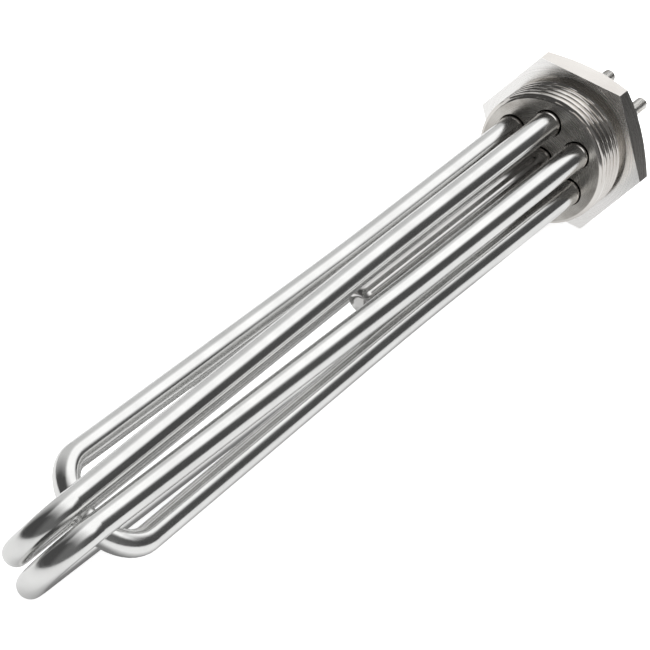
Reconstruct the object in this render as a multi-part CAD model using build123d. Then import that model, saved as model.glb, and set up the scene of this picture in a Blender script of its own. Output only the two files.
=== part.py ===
from build123d import *
import os
from math import cos, radians, sin, tan

# Screw-in tank heater: three hairpin heating elements and a sensor pocket brazed into one threaded plug.
# It lies along X, with the heated loops towards -X, the terminals towards +X, and +Z up.
# The origin is on the thread's axis, in the plane of the hexagon's sealing face.

# Plug: hexagonal head, parallel pipe thread and the hollow terminal chamber behind it
across_flats = 48.0
head_height = 8.0
head_rim_diameter = 47.2
head_chamfer_angle = 36.0
thread_diameter = 41.9
plug_reach = 14.0
tank_end_chamfer = 1.2
relief_diameter = 38.8
relief_width = 2.4
chamber_diameter = 35.6
chamber_mouth_diameter = 44.6
chamber_flare_depth = 9.0
chamber_floor_radius = 0.8
web_thickness = 4.0

# Heating elements: sheath tube, and where its legs and bends lie
sheath_diameter = 8.0
sheath_wall = 0.6
pitch_circle_diameter = 25.4
leg_clocking = 3.5
parallel_length = 120.0
easing_radius = 3000.0
centre_loop_reach = 297.5
left_loop_reach = 323.5
right_loop_reach = 327.0
centre_loop_splay = 0.9
right_loop_splay = 0.5
left_loop_lean = 0.5
right_loop_lean = 0.5
sheath_end_height = 7.0
bead_diameter = 8.8
bead_length = 1.8
bead_rounding = 0.35

# Inside each sheath: resistance coil, cold pin, seal and ceramic bush
coil_diameter = 3.0
coil_wall = 0.4
cold_length = 45.0
spigot_length = 6.0
seal_thickness = 3.0
bush_length = 4.4
bush_recess = 0.6
bush_chamfer = 0.3

# Terminals, from the sheath's end outwards
stud_diameter = 4.0
stud_height = 31.0
short_stud_height = 28.0
stud_point = 0.7
support_height = 11.0
nut_across_flats = 7.0
nut_thickness = 3.2
nut_rim_diameter = 6.7
nut_chamfer_angle = 30.0
nut_turn = 17.0
washer_diameter = 8.0
washer_thickness = 0.8
spring_washer_diameter = 7.4
spring_washer_thickness = 1.0
spring_washer_gap = 0.9
stud_clearance = 0.15

# Star plate that joins one end of each element
plate_width = 8.8
plate_thickness = 1.0
plate_slot_sweep = 15.5

# Sensor pocket: closed tube on the axis, open at the terminal side
pocket_diameter = 8.0
pocket_wall = 0.5
pocket_height = 30.0
pocket_reach = 131.0
pocket_tip_radius = 2.4

# Brazed joint round each tube at the tank end of the plug: it leaves a groove in the tank face,
# and a thin collar of braze up the tube
braze_seat_width = 0.5
braze_seat_depth = 0.8
braze_sink = 0.5
braze_collar_thickness = 0.15
braze_collar_height = 1.1
braze_climb = 1.5

# Cutting tools run this far past the faces they open
cutter_overrun = 1.0

sheath_radius = sheath_diameter / 2
sheath_bore_radius = sheath_radius - sheath_wall
coil_radius = coil_diameter / 2
coil_bore_radius = coil_radius - coil_wall
stud_radius = stud_diameter / 2
pocket_radius = pocket_diameter / 2
pitch_radius = pitch_circle_diameter / 2
bush_top = sheath_end_height - bush_recess
seal_top = bush_top - bush_length
seal_bottom = seal_top - seal_thickness

# Each element has two legs, at these angles on the pitch circle before clocking, and a stud on each.
# Splay spreads a loop's legs apart, and lean tips the whole loop across the axis.
loops = {
    "centre_loop": {
        "angles": (150, -30), "studs": (stud_height, stud_height),
        "reach": centre_loop_reach, "splay": centre_loop_splay, "lean": 0,
    },
    "left_loop": {
        "angles": (90, -150), "studs": (short_stud_height, stud_height),
        "reach": left_loop_reach, "splay": 0, "lean": left_loop_lean,
    },
    "right_loop": {
        "angles": (30, -90), "studs": (stud_height, stud_height),
        "reach": right_loop_reach, "splay": right_loop_splay, "lean": right_loop_lean,
    },
}
plated_angles = (30, 90, 150)
bare_angles = (-30, -90, -150)


def leg_place(angle):
    """Where a leg's centre line crosses the plane x = 0, at an angle from -Y towards +Z before clocking."""
    turned_angle = radians(angle + leg_clocking)
    return Vector(0, -pitch_radius * cos(turned_angle), pitch_radius * sin(turned_angle))


def turned(points):
    """Solid of revolution about X from (x, radius) corners."""
    outline = Polyline(*points, close=True)
    return revolve(make_face(outline), Axis.X, 360)


def ring(x_start, x_end, outer_radius, inner_radius):
    corners = [(x_start, inner_radius), (x_end, inner_radius), (x_end, outer_radius), (x_start, outer_radius)]
    return turned(corners)


def chamfered_hexagon(flats, height, rim_diameter, chamfer_angle):
    """Hexagon from x = 0 up, with its corners cut back by a cone that starts at the rim of the outer face."""
    prism = extrude(Plane.YZ * RegularPolygon(flats / 2, 6, major_radius=False), height)
    foot_radius = rim_diameter / 2 + height / tan(radians(chamfer_angle))
    return prism & turned([(0, 0), (0, foot_radius), (height, rim_diameter / 2), (height, 0)])


def eased_corner(corner, direction_in, direction_out):
    """Start, middle and end of the large arc that turns a leg from one direction to the other."""
    turn = radians(direction_in.get_angle(direction_out))
    setback = easing_radius * tan(turn / 2)
    inward = (direction_out - direction_in).normalized()
    middle = corner + inward * (easing_radius / cos(turn / 2) - easing_radius)
    return corner - direction_in * setback, middle, corner + direction_out * setback


def loop_path(loop, x_start):
    """Centre line of a hairpin element, from x_start on one leg round the bend to x_start on the other."""
    first, second = (leg_place(angle) for angle in loop["angles"])
    chord = (first - second).normalized()
    half_width = (first - second).length / 2
    along = Vector(-1, 0, 0)
    lean = radians(loop["lean"])
    forward = along
    if lean:
        forward = along * cos(lean) - (first + second).normalized() * sin(lean)

    # The bend is one arc that meets both splayed legs without a kink, and this fixes the legs' length
    splay = radians(loop["splay"])
    tip_distance = (loop["reach"] - parallel_length) / cos(lean) - sheath_radius
    leg_run = tip_distance - half_width * (tan(splay) + 1 / cos(splay))
    leg_run = leg_run / (1 + tan(splay) ** 2 + tan(splay) / cos(splay))

    legs = []
    bend_ends = []
    for place, side in ((first, 1), (second, -1)):
        leg_start = place + Vector(x_start, 0, 0)
        corner = place + along * parallel_length
        outward = forward * cos(splay) + chord * (side * sin(splay))
        bend_ends.append(corner + outward * (leg_run / cos(splay)))
        if lean or splay:
            arc = eased_corner(corner, along, outward)
            legs.append([Edge.make_line(leg_start, arc[0]), Edge.make_three_point_arc(*arc),
                         Edge.make_line(arc[2], bend_ends[-1])])
        else:
            legs.append([Edge.make_line(leg_start, bend_ends[-1])])
    bend_tip = (first + second) * 0.5 + along * parallel_length + forward * tip_distance
    bend = Edge.make_three_point_arc(bend_ends[0], bend_tip, bend_ends[1])
    return Wire(legs[0] + [bend] + legs[1])


def swept_tube(path, outer_radius, inner_radius=0.0):
    """Round section carried along a path that starts towards -X."""
    section_plane = Plane(path @ 0, z_dir=path % 0)
    section = section_plane * Circle(outer_radius)
    if inner_radius:
        section -= section_plane * Circle(inner_radius)
    return sweep(section, path=path)


def sheath(loop):
    """Hairpin tube with a rolled bead round each open end."""
    tube = swept_tube(loop_path(loop, sheath_end_height), sheath_radius, sheath_bore_radius)
    bead = ring(sheath_end_height - bead_length, sheath_end_height, bead_diameter / 2, sheath_radius)
    bead_edges = bead.edges().filter_by(GeomType.CIRCLE).sort_by(SortBy.RADIUS)[-2:]
    bead = fillet(bead_edges, bead_rounding)
    for angle in loop["angles"]:
        tube += Pos(leg_place(angle)) * bead
    return tube


def filling(loop):
    """Pressed magnesia: a jacket round pins and coil, and the core inside the coil."""
    jacket = swept_tube(loop_path(loop, seal_bottom), sheath_bore_radius, coil_radius)
    core = swept_tube(loop_path(loop, -cold_length - spigot_length), coil_bore_radius)
    return Compound(children=[jacket, core])


def resistance_coil(loop):
    """The coil's turns, as one sleeve of their outer and inner diameter."""
    return swept_tube(loop_path(loop, -cold_length), coil_radius, coil_bore_radius)


def terminal_pin(height):
    """Threaded stud outside, plain cold pin inside, with a spigot that the coil is pushed over."""
    return turned([
        (-cold_length - spigot_length, 0), (-cold_length - spigot_length, coil_bore_radius),
        (-cold_length, coil_bore_radius), (-cold_length, coil_radius),
        (seal_top, coil_radius), (seal_top, stud_radius),
        (height - stud_point, stud_radius), (height, stud_radius - stud_point), (height, 0),
    ])


def end_bush():
    return turned([
        (seal_top, stud_radius), (seal_top, sheath_bore_radius),
        (bush_top - bush_chamfer, sheath_bore_radius), (bush_top, sheath_bore_radius - bush_chamfer),
        (bush_top, stud_radius),
    ])


def end_seal():
    return ring(seal_bottom, seal_top, sheath_bore_radius, coil_radius)


def terminal_chamber():
    """Hollow behind the web: straight inside the thread, flared out to the rim of the head."""
    floor_x = web_thickness - plug_reach
    flare_x = head_height - chamber_flare_depth
    radius = chamber_diameter / 2
    mouth_radius = chamber_mouth_diameter / 2
    wall = Polyline((head_height, 0), (floor_x, 0), (floor_x, radius), (flare_x, radius))
    flare = TangentArc((flare_x, radius), (head_height, mouth_radius), tangent=(1, 0))
    closing = Line((head_height, mouth_radius), (head_height, 0))
    hollow = revolve(make_face(wall + flare + closing), Axis.X, 360)
    floor_edge = hollow.edges().filter_by(GeomType.CIRCLE).sort_by(Axis.X)[0]
    return fillet(floor_edge, chamber_floor_radius)


def tube_hole(radius):
    """Hole through the web with the shallow seat for the braze, measured from the tank face."""
    hole = ring(-cutter_overrun, web_thickness + cutter_overrun, radius, 0)
    return hole + ring(-cutter_overrun, braze_seat_depth, radius + braze_seat_width, 0)


def plug_body():
    thread_radius = thread_diameter / 2
    relief_radius = relief_diameter / 2
    head = chamfered_hexagon(across_flats, head_height, head_rim_diameter, head_chamfer_angle)
    shank = turned([
        (0, 0), (0, relief_radius), (-relief_width, relief_radius), (-relief_width, thread_radius),
        (tank_end_chamfer - plug_reach, thread_radius), (-plug_reach, thread_radius - tank_end_chamfer),
        (-plug_reach, 0),
    ])
    body = head + shank - terminal_chamber()
    tank_face = Pos(-plug_reach, 0, 0)
    for loop in loops.values():
        for angle in loop["angles"]:
            body -= tank_face * Pos(leg_place(angle)) * tube_hole(sheath_radius)
    return body - tank_face * tube_hole(pocket_radius)


def brazed_joint(radius):
    """Braze in the bottom of the seat, with its collar up the tube."""
    seat_radius = radius + braze_seat_width
    collar_radius = radius + braze_collar_thickness
    return Pos(-plug_reach, 0, 0) * turned([
        (braze_seat_depth, radius), (braze_seat_depth, seat_radius), (braze_sink, seat_radius),
        (braze_sink, collar_radius), (-braze_collar_height, collar_radius), (-braze_climb, radius),
    ])


def brazed_joints():
    joints = [Pos(leg_place(angle)) * brazed_joint(sheath_radius)
              for loop in loops.values() for angle in loop["angles"]]
    joints.append(brazed_joint(pocket_radius))
    return Compound(children=joints)


def sensor_pocket():
    outside = ring(-pocket_reach, pocket_height, pocket_radius, 0)
    inside = ring(pocket_wall - pocket_reach, pocket_height + cutter_overrun, pocket_radius - pocket_wall, 0)
    tip_edge = outside.edges().filter_by(GeomType.CIRCLE).sort_by(Axis.X)[0]
    floor_edge = inside.edges().filter_by(GeomType.CIRCLE).sort_by(Axis.X)[0]
    return fillet(tip_edge, pocket_tip_radius) - fillet(floor_edge, pocket_tip_radius - pocket_wall)


def nut():
    hexagon = chamfered_hexagon(nut_across_flats, nut_thickness, nut_rim_diameter, nut_chamfer_angle)
    return hexagon - ring(-cutter_overrun, nut_thickness + cutter_overrun, stud_radius, 0)


def washer():
    return ring(0, washer_thickness, washer_diameter / 2, stud_radius + stud_clearance)


def spring_washer():
    whole = ring(0, spring_washer_thickness, spring_washer_diameter / 2, stud_radius + stud_clearance)
    slit_length = spring_washer_thickness + 2 * cutter_overrun
    slit = Box(slit_length, spring_washer_diameter, spring_washer_gap)
    return whole - Pos(spring_washer_thickness / 2, spring_washer_diameter / 2, 0) * slit


def on_studs(piece, plated_x, bare_x):
    """One copy on each stud, at its own height on the plated and on the bare studs, each turned a little."""
    places = [(angle, plated_x) for angle in plated_angles] + [(angle, bare_x) for angle in bare_angles]
    copies = [Pos(leg_place(angle)) * Pos(x, 0, 0) * Rot(nut_turn * index, 0, 0) * piece
              for index, (angle, x) in enumerate(places)]
    return Compound(children=copies)


def arc_slot(middle_angle, half_sweep_back, half_sweep_on, width):
    """Slot round the pitch circle, seen from the terminal side."""
    middle = 180 - middle_angle - leg_clocking
    arc = CenterArc((0, 0), pitch_radius, middle - half_sweep_back, half_sweep_back + half_sweep_on)
    return SlotArc(arc, width)


def star_plate(x):
    first, middle, last = plated_angles
    slot_width = stud_diameter + 2 * stud_clearance
    outline = arc_slot(middle, middle - first, last - middle, plate_width)
    outline -= arc_slot(first, plate_slot_sweep, 0, slot_width)
    outline -= arc_slot(middle, plate_slot_sweep, plate_slot_sweep, slot_width)
    outline -= arc_slot(last, 0, plate_slot_sweep, slot_width)
    return extrude(Plane.YZ.offset(x) * outline, plate_thickness)


def build():
    plate_x = support_height + nut_thickness + washer_thickness
    upper_x = plate_x + plate_thickness
    spring_x = upper_x + washer_thickness
    nut_x = spring_x + spring_washer_thickness
    parts = {
        "plug_body": plug_body(),
        "sensor_pocket": sensor_pocket(),
        "brazed_joints": brazed_joints(),
        "support_nuts": on_studs(nut(), support_height, support_height),
        "lower_washers": on_studs(washer(), support_height + nut_thickness, support_height + nut_thickness),
        "star_plate": star_plate(plate_x),
        "upper_washers": on_studs(washer(), upper_x, upper_x - plate_thickness),
        "spring_washers": on_studs(spring_washer(), spring_x, spring_x - plate_thickness),
        "terminal_nuts": on_studs(nut(), nut_x, nut_x - plate_thickness),
    }
    for name, loop in loops.items():
        parts["sheath_" + name] = sheath(loop)
        parts["filling_" + name] = filling(loop)
        parts["coil_" + name] = resistance_coil(loop)
        for number, (angle, height) in enumerate(zip(loop["angles"], loop["studs"]), start=1):
            place = Pos(leg_place(angle))
            parts[f"terminal_pin_{name}_{number}"] = place * terminal_pin(height)
            parts[f"end_bush_{name}_{number}"] = place * end_bush()
            parts[f"end_seal_{name}_{number}"] = place * end_seal()
    return parts


os.makedirs("parts", exist_ok=True)
for node, shape in build().items():
    export_step(shape, f"parts/{node}.step")
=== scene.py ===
import bmesh
import bpy
from math import cos, floor, hypot, pi, radians, sin
from mathutils import Matrix, Vector


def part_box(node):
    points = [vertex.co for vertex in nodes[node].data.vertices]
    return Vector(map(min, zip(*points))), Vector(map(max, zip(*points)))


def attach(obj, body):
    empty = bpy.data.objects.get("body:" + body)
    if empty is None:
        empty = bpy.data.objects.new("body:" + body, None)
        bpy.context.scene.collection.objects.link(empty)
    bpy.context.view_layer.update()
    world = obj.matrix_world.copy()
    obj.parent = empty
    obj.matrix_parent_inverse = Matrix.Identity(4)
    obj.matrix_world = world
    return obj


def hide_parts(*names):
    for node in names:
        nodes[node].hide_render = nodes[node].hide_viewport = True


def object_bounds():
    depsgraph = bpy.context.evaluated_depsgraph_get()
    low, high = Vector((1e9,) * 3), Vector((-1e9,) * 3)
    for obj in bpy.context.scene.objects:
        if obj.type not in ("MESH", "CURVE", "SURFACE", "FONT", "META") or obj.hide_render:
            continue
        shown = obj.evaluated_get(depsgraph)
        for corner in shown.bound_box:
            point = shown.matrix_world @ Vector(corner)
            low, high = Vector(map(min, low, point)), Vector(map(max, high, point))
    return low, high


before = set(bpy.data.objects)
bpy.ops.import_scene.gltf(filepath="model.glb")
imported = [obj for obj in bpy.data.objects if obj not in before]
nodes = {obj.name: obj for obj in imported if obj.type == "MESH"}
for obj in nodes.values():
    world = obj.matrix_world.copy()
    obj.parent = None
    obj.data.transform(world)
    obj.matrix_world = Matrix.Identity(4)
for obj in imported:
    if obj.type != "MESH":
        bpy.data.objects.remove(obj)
cad_low, cad_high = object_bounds()

# The camera looks down past the heated loops at the tank side of the plug, rolled a little
view_azimuth = -69.52
view_elevation = 31.007
view_roll = 15.876
view_distance = 2.596
view_aim = Vector((-0.1514, 0.0005, 0.0009))
focal_length = 498.5
sensor_width = 36.0
nearest_seen = 0.05

# Lamps: place, aim, width, height, watts
lamp_list = {
    "overhead": ((0.1, 0.15, 1.3), (-0.12, 0.0, 0.0), 1.2, 1.0, 16.0),
    "side": ((-0.7, -1.1, 0.8), (-0.12, 0.0, 0.0), 0.5, 0.8, 5.0),
}

# Studio that the metal mirrors. Directions have length 1, and each pair says between which two values
# of a direction's x or y a part of the studio fades in.
box_x = (-0.45, 0.3)
box_near_y = (-0.80, -0.62)
box_far_y = (0.46, 0.30)
wall_x = (-0.1, 0.5)
wall_y = (0.26, 0.42)
near_side_x = (0.5, -0.4)
near_side_y = (0.2, -0.3)

# A slant cuts one corner off the soft box, where y is the slant times x, less the corner
box_slant = 1.3
box_corner = 1.31
corner_softness = 0.08

# Brightness of the studio's parts, and of the background as the camera sees it
box_light = 1.25
wall_light = 0.66
near_side_light = 0.16
ceiling_light = 0.075
background_light = 1.0

# Floor: how pale it is painted, plainly, in the metal and in the shade, and how much it glows by itself
floor_reach = 6.0
floor_roughness = 0.9
floor_paint = 0.9
mirrored_paint = 0.25
shaded_paint = 0.10
camera_glow = 0.72
mirrored_glow = 0.66

# The metal also mirrors a shade on the floor: far out, and in a strip under the object. The strip has half
# a width, a middle, a share that is fully shaded, a depth, and two ends that fade along the axis.
far_shade = (0.35, 1.1)
strip_width = 0.026
strip_middle = -0.008
strip_core = 0.2
strip_depth = 0.75
strip_far_end = (-0.33, -0.30)
strip_near_end = (-0.03, -0.06)

# Plug: the thread between the tank face and the relief, and the hollow behind the web
thread_pitch = 0.002309
thread_depth = 0.0011
root_share = 0.12
flank_share = 0.45
thread_radius = 0.02095
thread_start = -0.014
thread_end = -0.0024
thread_start_radius = 0.01975
lead_in_length = 0.0016
relief_radius = 0.0194
chamber_floor = -0.0105
head_back = 0.008

# Studs: metric coarse thread above the ceramic bush
stud_pitch = 0.0007
stud_depth = 0.0004
stud_radius = 0.002
stud_thread_start = 0.0072
stud_point = 0.0007
pin_radius = 0.0015
pin_start = -0.051
spigot_end = -0.045
spigot_radius = 0.0011
stud_foot = 0.002

# Meshes: points round a thread, points along one pitch, and the angle in degrees that looks sharp
plug_around = 320
plug_steps = 20
plug_crease = 32
stud_around = 28
stud_steps = 8
stud_crease = 40
weld_distance = 1e-7
edge_slack = 1e-5

# Stretches of the coordinates: grain along X, grain along Y, even grain, and only the axes across the plug
drawn = (0.008, 1, 1)
brushed = (1, 0.1, 1)
even = (1, 1, 1)
across = (0, 1, 1)

# Metals: colour, roughness, scale of the grain, its stretch, and the strength of its bump
metal_list = {
    "sheath_steel": ((0.80, 0.80, 0.79), 0.17, 900.0, drawn, 0.008),
    "pocket_steel": ((0.78, 0.77, 0.76), 0.12, 900.0, drawn, 0.01),
    "braze_metal": ((0.80, 0.77, 0.74), 0.16, 1500.0, even, 0.3),
    "nut_steel": ((0.82, 0.82, 0.81), 0.14, 3000.0, even, 0.2),
    "washer_steel": ((0.78, 0.78, 0.77), 0.2, 2500.0, even, 0.3),
    "spring_steel": ((0.07, 0.065, 0.06), 0.3, 2500.0, even, 0.4),
    "plate_nickel": ((0.86, 0.85, 0.82), 0.12, 2500.0, brushed, 0.2),
    "coil_alloy": ((0.45, 0.43, 0.41), 0.35, 3000.0, even, 0.3),
    "stud_steel": ((0.78, 0.77, 0.75), 0.18, 3000.0, even, 0.3),
}

# Fillings, bushes and seals: colour, roughness, scale of the grain
matte_list = {
    "magnesia": ((0.88, 0.86, 0.82), 0.8, 3000.0),
    "ceramic": ((0.85, 0.80, 0.70), 0.45, 2000.0),
    "seal_rubber": ((0.45, 0.14, 0.08), 0.6, 2000.0),
}

# How metals and matte pieces vary: values that a noise mostly keeps between, patches of another tone,
# and roughness as shares of the plain one
noise_range = (0.3, 0.7)
patch_range = (0.35, 0.65)
patch_scale = 60.0
patch_tone = 0.9
gloss_shares = (0.8, 1.3)
matte_patch_tone = 0.75
matte_bump = 0.3
fine_detail = 3.0
cloud_detail = 4.0
grain_height = 0.00001
matte_grain_height = 0.00005

# Plug's finish: how near a plane a point counts as on it, tones, and turning marks, which are rougher,
# stretched round the axis and bumped on the flat faces only
face_slack = 0.0001
rim_width = 0.0005
straw_depth = 0.0006
plug_patch_scale = 45.0
plug_tones = ((0.62, 0.59, 0.56), (0.76, 0.74, 0.71))
smoke_scale = 140.0
smoke_tones = ((0.38, 0.36, 0.33), (0.66, 0.64, 0.61))
bright_tone = (0.95, 0.94, 0.925)
straw_tone = (0.84, 0.80, 0.68)
# Painted shade: black for the gaps round the sheaths, in the braze below the tank face and in the plug's
# bores
painted_gap_black = (0.02, 0.018, 0.016)
ring_scale = 2200.0
ring_roughness = (0.09, 0.18)
face_roughness = 0.12
face_anisotropy = 0.7
face_bump = 0.5

# Heat tint on sheaths and pocket: where it fades in along X, their rims, and its colours by noise
heat_start = (-0.0125, -0.0105)
sheath_cloud_scale = 160.0
sheath_rim = (0.0045, 0.0052)
sheath_rim_tone = (0.62, 0.36, 0.27)
pocket_cloud_scale = 110.0
pocket_rim = (0.0275, 0.0299)
pocket_rim_tone = (0.62, 0.44, 0.30)
heat_stops = [
    (0.30, (0.10, 0.035, 0.03)), (0.42, (0.20, 0.075, 0.05)), (0.50, (0.34, 0.16, 0.09)),
    (0.57, (0.16, 0.06, 0.08)), (0.66, (0.55, 0.38, 0.16)), (0.78, (0.42, 0.30, 0.24)),
]

# Heat tint in the chamber: its limit widens along X, and its bands follow X with a wobble
flare_x = (-0.001, 0.008)
flare_radius = (0.0186, 0.0226)
wobble_scale = 90.0
band_wobble = 0.0025
band_reach = (-0.011, 0.0085)
chamber_bands = [
    (0.0, (0.12, 0.04, 0.035)), (0.30, (0.22, 0.09, 0.06)), (0.45, (0.16, 0.07, 0.07)),
    (0.54, (0.45, 0.32, 0.15)), (0.64, (0.80, 0.68, 0.38)), (0.74, (0.46, 0.29, 0.18)),
    (0.88, (0.32, 0.19, 0.16)), (1.0, (0.62, 0.50, 0.36)),
]

# Sockets of the Mix node where it mixes colours
mix_factor, mix_first, mix_second, mix_result = 0, 6, 7, 2


def grey(value):
    return value, value, value


def shader_tools(owner):
    """Node maker and linker for one material or world."""
    tree = owner.node_tree

    def node(kind, **settings):
        made = tree.nodes.new(kind)
        for name, value in settings.items():
            setattr(made, name, value)
        return made

    return node, tree.links.new


def new_material(name):
    material = bpy.data.materials.new(name)
    material.use_nodes = True
    principled = material.node_tree.nodes["Principled BSDF"]
    return material, principled


def feed(link, socket, value):
    """Gives a socket a number, a colour or another socket's output."""
    if isinstance(value, (int, float)):
        socket.default_value = value
    elif isinstance(value, tuple):
        socket.default_value = (*value, 1.0)
    else:
        link(value, socket)


def row_coordinates(node, link, stretch=even):
    """Object coordinates, which are the row frame in metres, multiplied along each axis."""
    coordinates = node("ShaderNodeTexCoord")
    mapping = node("ShaderNodeMapping")
    mapping.inputs["Scale"].default_value = stretch
    link(coordinates.outputs["Object"], mapping.inputs["Vector"])
    return mapping.outputs["Vector"]


def split_axes(node, link):
    separate = node("ShaderNodeSeparateXYZ")
    link(row_coordinates(node, link), separate.inputs["Vector"])
    return separate.outputs


def distance_from_origin(node, link, stretch=even):
    measure = node("ShaderNodeVectorMath", operation="LENGTH")
    link(row_coordinates(node, link, stretch), measure.inputs[0])
    return measure.outputs["Value"]


def noise(node, link, scale, stretch=even, detail=fine_detail):
    texture = node("ShaderNodeTexNoise")
    texture.inputs["Scale"].default_value = scale
    texture.inputs["Detail"].default_value = detail
    link(row_coordinates(node, link, stretch), texture.inputs["Vector"])
    return texture.outputs["Fac"]


def calculate(node, link, operation, first, second=0.0):
    """One step of arithmetic on sockets or numbers."""
    made = node("ShaderNodeMath", operation=operation)
    feed(link, made.inputs[0], first)
    feed(link, made.inputs[1], second)
    return made.outputs["Value"]


def product(node, link, first, *others):
    """Sockets and numbers multiplied together."""
    for other in others:
        first = calculate(node, link, "MULTIPLY", first, other)
    return first


def ramp(node, link, factor, stops):
    """Colour ramp from (place, colour) stops."""
    made = node("ShaderNodeValToRGB")
    elements = made.color_ramp.elements
    while len(elements) < len(stops):
        elements.new(0.5)
    for element, (place, colour) in zip(elements, stops):
        element.position = place
        element.color = (*colour, 1.0)
    link(factor, made.inputs["Fac"])
    return made.outputs["Color"]


def spread(node, link, value, low_in, high_in, low_out=0.0, high_out=1.0):
    """Maps a value range onto another, and holds it there."""
    made = node("ShaderNodeMapRange")
    made.inputs["From Min"].default_value = low_in
    made.inputs["From Max"].default_value = high_in
    made.inputs["To Min"].default_value = low_out
    made.inputs["To Max"].default_value = high_out
    link(value, made.inputs["Value"])
    return made.outputs["Result"]


def blend(node, link, factor, first, second):
    """Colour that goes from the first to the second."""
    made = node("ShaderNodeMix", data_type="RGBA")
    for place, value in ((mix_factor, factor), (mix_first, first), (mix_second, second)):
        feed(link, made.inputs[place], value)
    return made.outputs[mix_result]


def bump(node, link, principled, height, strength, distance):
    made = node("ShaderNodeBump")
    made.inputs["Distance"].default_value = distance
    feed(link, made.inputs["Strength"], strength)
    link(height, made.inputs["Height"])
    link(made.outputs["Normal"], principled.inputs["Normal"])


def steel(name, tint=None):
    """Metal whose colour, gloss and fine grain vary a little; tint gives a mask and its colours."""
    tone, roughness, grain_scale, grain_stretch, grain_bump = metal_list[name]
    material, principled = new_material(name)
    node, link = shader_tools(material)
    principled.inputs["Metallic"].default_value = 1.0
    patches = noise(node, link, patch_scale)
    darker = tuple(part * patch_tone for part in tone)
    colour = ramp(node, link, patches, list(zip(patch_range, (darker, tone))))
    if tint:
        mask, colours = tint(node, link)
        colour = blend(node, link, mask, colour, colours)
    link(colour, principled.inputs["Base Color"])
    grain = noise(node, link, grain_scale, grain_stretch)
    gloss = spread(node, link, grain, *noise_range, *(roughness * share for share in gloss_shares))
    link(gloss, principled.inputs["Roughness"])
    bump(node, link, principled, grain, grain_bump, grain_height)
    return material


def heat_tint(node, link, cloud_scale, rim_reach, rim_tone):
    """Brown, copper and violet that heat leaves on steel, with straw and gold in between, up to a rim."""
    x = split_axes(node, link)["X"]
    clouds = noise(node, link, cloud_scale, detail=cloud_detail)
    rim = spread(node, link, x, *rim_reach)
    colours = blend(node, link, rim, ramp(node, link, clouds, heat_stops), rim_tone)
    return spread(node, link, x, *heat_start), colours


def sheath_tint(node, link):
    """Sheaths are heat-tinted from the web to their ends in the terminal chamber."""
    return heat_tint(node, link, sheath_cloud_scale, sheath_rim, sheath_rim_tone)


def pocket_tint(node, link):
    """The pocket is heat-tinted from the web to its mouth."""
    return heat_tint(node, link, pocket_cloud_scale, pocket_rim, pocket_rim_tone)


def braze_gap_shade(node, link):
    """Painted shade: the braze is painted black below the tank face, at the bottom of its groove round each
    sheath.
    """
    x = split_axes(node, link)["X"]
    return calculate(node, link, "GREATER_THAN", x, thread_start), painted_gap_black


def chamber_tint(node, link):
    """The chamber's wall and floor are tinted; its mouth is straw, the outside stays bright."""
    x = split_axes(node, link)["X"]
    limit = spread(node, link, x, *flare_x, *flare_radius)
    inside = calculate(node, link, "LESS_THAN", distance_from_origin(node, link, across), limit)
    behind_web = calculate(node, link, "GREATER_THAN", x, chamber_floor)
    wobble = spread(node, link, noise(node, link, wobble_scale), *noise_range, -band_wobble, band_wobble)
    depth = calculate(node, link, "ADD", x, wobble)
    bands = ramp(node, link, spread(node, link, depth, *band_reach), chamber_bands)
    return product(node, link, inside, behind_web), bands


def turned_steel():
    """The plug: concentric turning marks, a smoked tank face, painted shade in its bores and a heat-tinted
    terminal chamber.
    """
    material, principled = new_material("turned_steel")
    node, link = shader_tools(material)
    principled.inputs["Metallic"].default_value = 1.0
    x = split_axes(node, link)["X"]
    distance = distance_from_origin(node, link, across)
    tank_face = calculate(node, link, "LESS_THAN", x, thread_start + face_slack)
    shank = calculate(node, link, "LESS_THAN", x, -face_slack)
    head = calculate(node, link, "GREATER_THAN", x, face_slack)
    sealing_face = calculate(node, link, "SUBTRACT", 1.0, calculate(node, link, "MAXIMUM", shank, head))
    faces = calculate(node, link, "MAXIMUM", tank_face, sealing_face)

    patches = noise(node, link, plug_patch_scale, detail=cloud_detail)
    colour = ramp(node, link, patches, list(zip(noise_range, plug_tones)))
    smoke = noise(node, link, smoke_scale, detail=cloud_detail)
    smoked = ramp(node, link, smoke, list(zip(noise_range, smoke_tones)))
    colour = blend(node, link, tank_face, colour, smoked)
    colour = blend(node, link, sealing_face, colour, bright_tone)
    straw = spread(node, link, x, head_back - straw_depth, head_back)
    colour = blend(node, link, straw, colour, straw_tone)
    # Painted shade: the bores and hollows inside the plug, between its two faces, are painted black
    inner = calculate(node, link, "LESS_THAN", distance, relief_radius - rim_width)
    painted_bore_shade = product(node, link, inner, calculate(node, link, "SUBTRACT", shank, tank_face))
    colour = blend(node, link, painted_bore_shade, colour, painted_gap_black)
    mask, colours = chamber_tint(node, link)
    link(blend(node, link, mask, colour, colours), principled.inputs["Base Color"])

    rings = node("ShaderNodeTexNoise", noise_dimensions="1D")
    rings.inputs["Scale"].default_value = ring_scale
    rings.inputs["Detail"].default_value = fine_detail
    link(calculate(node, link, "ADD", distance, x), rings.inputs["W"])
    marks = rings.outputs["Fac"]
    gloss = spread(node, link, marks, *noise_range, *ring_roughness)
    added = product(node, link, faces, face_roughness)
    link(calculate(node, link, "ADD", gloss, added), principled.inputs["Roughness"])
    link(product(node, link, faces, face_anisotropy), principled.inputs["Anisotropic"])
    tangent = node("ShaderNodeTangent", direction_type="RADIAL", axis="X")
    link(tangent.outputs["Tangent"], principled.inputs["Tangent"])
    bump(node, link, principled, marks, product(node, link, faces, face_bump), grain_height)
    return material


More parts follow.
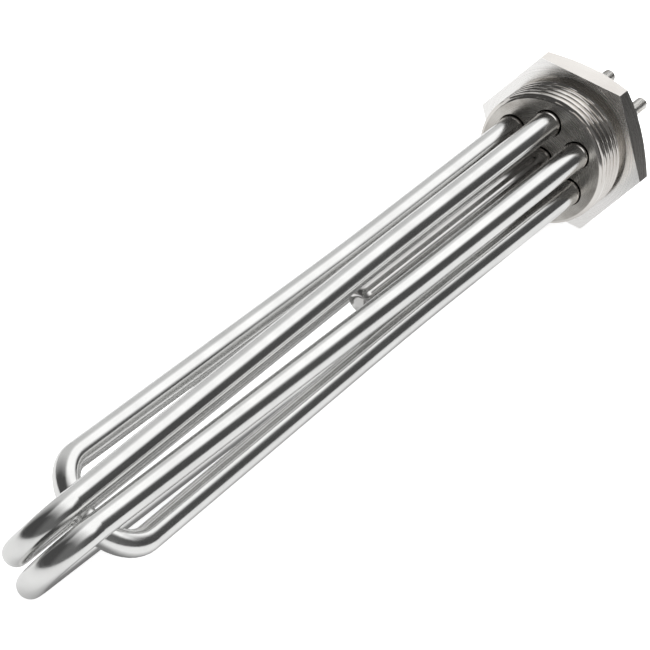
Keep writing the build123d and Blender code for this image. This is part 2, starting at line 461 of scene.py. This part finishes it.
def matte(name):
    """Ceramic, magnesia or rubber with a fine grain."""
    tone, roughness, grain_scale = matte_list[name]
    material, principled = new_material(name)
    node, link = shader_tools(material)
    principled.inputs["Roughness"].default_value = roughness
    grain = noise(node, link, grain_scale)
    darker = tuple(part * matte_patch_tone for part in tone)
    link(ramp(node, link, grain, list(zip(noise_range, (darker, tone)))), principled.inputs["Base Color"])
    bump(node, link, principled, grain, matte_bump, matte_grain_height)
    return material


def finish_nodes(material, *starts):
    """Gives the material to every node whose name starts in one of these ways."""
    for name, made in nodes.items():
        if name.startswith(starts):
            made.data.materials.clear()
            made.data.materials.append(material)


def link_piece(name, mesh, material, slot, *replaced):
    piece = bpy.data.objects.new(name, mesh)
    bpy.context.scene.collection.objects.link(piece)
    mesh.materials.clear()
    mesh.materials.append(material)
    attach(piece, "root")
    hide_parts(*replaced)


def thread_form(turn_share):
    """Height of a truncated thread with rounded corners, from 0 at the root to 1 at the crest."""
    height = (1 - abs(2 * turn_share - 1) - root_share) / flank_share
    height = min(1.0, max(0.0, height))
    return height * height * (3 - 2 * height)


def thread_places(start, end, pitch, steps):
    """Even places along X after the start, about so many to a pitch, the last of them at the end."""
    count = int((end - start) / pitch * steps)
    return [start + (end - start) / count * step for step in range(1, count + 1)]


def threaded_rows(places, around, crest, depth, pitch, envelope, centre=(0.0, 0.0)):
    """Rings of points round X, one ring for each place, with a right-hand thread cut into the envelope."""
    rows = []
    for x in places:
        ring = []
        for step in range(around):
            angle = 2 * pi * step / around
            turn = (x - pitch * step / around) / pitch
            cut = crest - depth * (1 - thread_form(turn - floor(turn)))
            radius = min(envelope(x), cut)
            ring.append((x, centre[0] + radius * cos(angle), centre[1] + radius * sin(angle)))
        rows.append(ring)
    return rows


def plain_ring(x, radius, around, centre=(0.0, 0.0)):
    angles = [2 * pi * step / around for step in range(around)]
    return [(x, centre[0] + radius * cos(angle), centre[1] + radius * sin(angle)) for angle in angles]


def skin_rows(shape, rows):
    """Adds quads between neighbouring rings to a bmesh, facing away from the X axis where places rise."""
    made = [[shape.verts.new(point) for point in row] for row in rows]
    for lower, upper in zip(made, made[1:]):
        for step in range(len(lower)):
            after = (step + 1) % len(lower)
            shape.faces.new((lower[step], lower[after], upper[after], upper[step])).smooth = True
    return made


def finished_mesh(shape, name, crease):
    """Mesh of the shape, whose edges look sharp past the crease angle."""
    shape.normal_update()
    for edge in shape.edges:
        if len(edge.link_faces) == 2:
            edge.smooth = edge.calc_face_angle() < radians(crease)
    mesh = bpy.data.meshes.new(name)
    shape.to_mesh(mesh)
    shape.free()
    return mesh


def make_plug(material):
    """The plug with its crest cylinder, entry chamfer and relief flank exchanged for a real thread."""
    shape = bmesh.new()
    shape.from_mesh(nodes["plug_body"].data)
    bmesh.ops.remove_doubles(shape, verts=shape.verts, dist=weld_distance)
    doomed = [face for face in shape.faces
              if all(hypot(vertex.co.y, vertex.co.z) > relief_radius - edge_slack
                     and vertex.co.x < thread_end + edge_slack for vertex in face.verts)]
    bmesh.ops.delete(shape, geom=doomed, context="FACES")
    for face in shape.faces:
        face.smooth = True

    def envelope(x):
        lead = min(1.0, (x - thread_start) / lead_in_length)
        return thread_start_radius + (thread_radius - thread_start_radius) * lead * (2 - lead)

    places = thread_places(thread_start, thread_end, thread_pitch, plug_steps)
    rows = [plain_ring(thread_start, thread_start_radius, plug_around)]
    rows += threaded_rows(places, plug_around, thread_radius, thread_depth, thread_pitch, envelope)
    rows.append(plain_ring(thread_end, relief_radius, plug_around))
    skin_rows(shape, rows)
    mesh = finished_mesh(shape, "threaded_plug", plug_crease)
    link_piece("threaded_plug", mesh, material, "plug_steel", "plug_body")


def make_stud(node_name, material):
    """Terminal pin with its stud threaded down to the bush."""
    low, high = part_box(node_name)
    centre = ((low.y + high.y) / 2, (low.z + high.z) / 2)
    outline = [(pin_start, spigot_radius), (spigot_end, spigot_radius), (spigot_end, pin_radius),
               (stud_foot, pin_radius), (stud_foot, stud_radius), (stud_thread_start, stud_radius)]

    def envelope(x):
        past = max(0.0, x - high.x + stud_point) / stud_point
        return stud_radius - stud_point * past * past

    shape = bmesh.new()
    places = thread_places(stud_thread_start, high.x, stud_pitch, stud_steps)
    rows = [plain_ring(x, radius, stud_around, centre) for x, radius in outline]
    rows += threaded_rows(places, stud_around, stud_radius, stud_depth, stud_pitch, envelope, centre)
    made = skin_rows(shape, rows)
    shape.faces.new(list(reversed(made[0])))
    shape.faces.new(made[-1])
    mesh = finished_mesh(shape, "stud_" + node_name, stud_crease)
    link_piece(node_name.replace("terminal_pin", "threaded_stud"), mesh, material, "pin_steel", node_name)


def make_camera():
    azimuth, elevation, roll = (radians(angle) for angle in (view_azimuth, view_elevation, view_roll))
    back = Vector((sin(azimuth) * cos(elevation), -cos(azimuth) * cos(elevation), sin(elevation)))
    camera = bpy.data.objects.new("camera", bpy.data.cameras.new("camera"))
    bpy.context.scene.collection.objects.link(camera)
    level = (-back).to_track_quat("-Z", "Y").to_matrix().to_4x4()
    place = Matrix.Translation(view_aim + back * view_distance)
    camera.matrix_world = place @ level @ Matrix.Rotation(roll, 4, "Z")
    camera.data.lens = focal_length
    camera.data.sensor_width = sensor_width
    camera.data.clip_start = nearest_seen
    bpy.context.scene.camera = camera


def make_lamps():
    """Area lamps, which light matte surfaces and which metal doesn't mirror."""
    for name, (place, aim, width, height, watts) in lamp_list.items():
        light = bpy.data.lights.new(name, "AREA")
        light.shape = "RECTANGLE"
        light.size = width
        light.size_y = height
        light.energy = watts
        lamp = bpy.data.objects.new(name, light)
        bpy.context.scene.collection.objects.link(lamp)
        lamp.location = place
        lamp.rotation_mode = "QUATERNION"
        lamp.rotation_quaternion = (Vector(aim) - Vector(place)).to_track_quat("-Z", "Y")
        lamp.visible_glossy = False


def make_world():
    """White to the camera. Metal mirrors a wide soft box, a grey wall and a dark room behind the camera."""
    world = bpy.data.worlds.new("studio")
    bpy.context.scene.world = world
    world.use_nodes = True
    node, link = shader_tools(world)
    coordinates = node("ShaderNodeTexCoord")
    separate = node("ShaderNodeSeparateXYZ")
    link(coordinates.outputs["Generated"], separate.inputs["Vector"])
    x, y = separate.outputs["X"], separate.outputs["Y"]
    slanted = calculate(node, link, "SUBTRACT", y, product(node, link, x, box_slant))
    soft_box = product(
        node, link, spread(node, link, x, *box_x),
        spread(node, link, slanted, -corner_softness - box_corner, corner_softness - box_corner),
        spread(node, link, y, *box_near_y), spread(node, link, y, *box_far_y))
    wall = product(node, link, spread(node, link, y, *wall_y), spread(node, link, x, *wall_x))
    near_side = product(node, link, spread(node, link, y, *near_side_y), spread(node, link, x, *near_side_x))
    ceiling = blend(node, link, near_side, grey(ceiling_light), grey(near_side_light))
    room = blend(node, link, wall, ceiling, grey(wall_light))
    studio = blend(node, link, soft_box, room, grey(box_light))
    path = node("ShaderNodeLightPath")
    seen = blend(node, link, path.outputs["Is Camera Ray"], studio, grey(background_light))
    link(seen, world.node_tree.nodes["Background"].inputs["Color"])


def make_floor():
    """Pale floor that keeps the shadow; the camera sees it white, and metal and glass nearly so."""
    z = cad_low.z
    corners = [(-floor_reach, -floor_reach, z), (floor_reach, -floor_reach, z),
               (floor_reach, floor_reach, z), (-floor_reach, floor_reach, z)]
    mesh = bpy.data.meshes.new("floor")
    mesh.from_pydata(corners, [], [(0, 1, 2, 3)])
    ground = bpy.data.objects.new("floor", mesh)
    bpy.context.scene.collection.objects.link(ground)
    material, principled = new_material("floor")
    node, link = shader_tools(material)
    principled.inputs["Roughness"].default_value = floor_roughness
    principled.inputs["Specular IOR Level"].default_value = 0.0
    principled.inputs["Emission Color"].default_value = (1, 1, 1, 1)
    path = node("ShaderNodeLightPath")
    mirrored = calculate(node, link, "MAXIMUM", path.outputs["Is Glossy Ray"],
                         path.outputs["Is Transmission Ray"])
    axes = split_axes(node, link)
    beside = calculate(node, link, "ABSOLUTE", calculate(node, link, "SUBTRACT", axes["Y"], strip_middle))
    strip = product(
        node, link, spread(node, link, beside, strip_width, strip_core * strip_width),
        spread(node, link, axes["X"], *strip_far_end),
        spread(node, link, axes["X"], *strip_near_end), strip_depth)
    far = spread(node, link, distance_from_origin(node, link), *far_shade)
    shade = product(node, link, calculate(node, link, "MAXIMUM", far, strip), mirrored)
    paint = blend(node, link, mirrored, grey(floor_paint), grey(mirrored_paint))
    link(blend(node, link, shade, paint, grey(shaded_paint)), principled.inputs["Base Color"])
    bright = calculate(node, link, "SUBTRACT", mirrored, shade)
    glow = calculate(node, link, "ADD", product(node, link, path.outputs["Is Camera Ray"], camera_glow),
                     product(node, link, bright, mirrored_glow))
    link(glow, principled.inputs["Emission Strength"])
    mesh.materials.append(material)


bpy.context.scene.view_settings.view_transform = "Standard"
make_camera()
make_lamps()
make_world()
make_floor()

finish_nodes(steel("sheath_steel", sheath_tint), "sheath")
finish_nodes(steel("pocket_steel", pocket_tint), "sensor_pocket")
# The braze carries painted shade: black at the bottom of its groove
finish_nodes(steel("braze_metal", braze_gap_shade), "brazed_joints")
finish_nodes(steel("nut_steel"), "support_nuts", "terminal_nuts")
finish_nodes(steel("washer_steel"), "lower_washers", "upper_washers")
finish_nodes(steel("spring_steel"), "spring_washers")
finish_nodes(steel("plate_nickel"), "star_plate")
finish_nodes(steel("coil_alloy"), "coil")
finish_nodes(matte("magnesia"), "filling")
finish_nodes(matte("ceramic"), "end_bush")
finish_nodes(matte("seal_rubber"), "end_seal")
make_plug(turned_steel())
stud_steel = steel("stud_steel")
for name in [name for name in nodes if name.startswith("terminal_pin")]:
    make_stud(name, stud_steel)
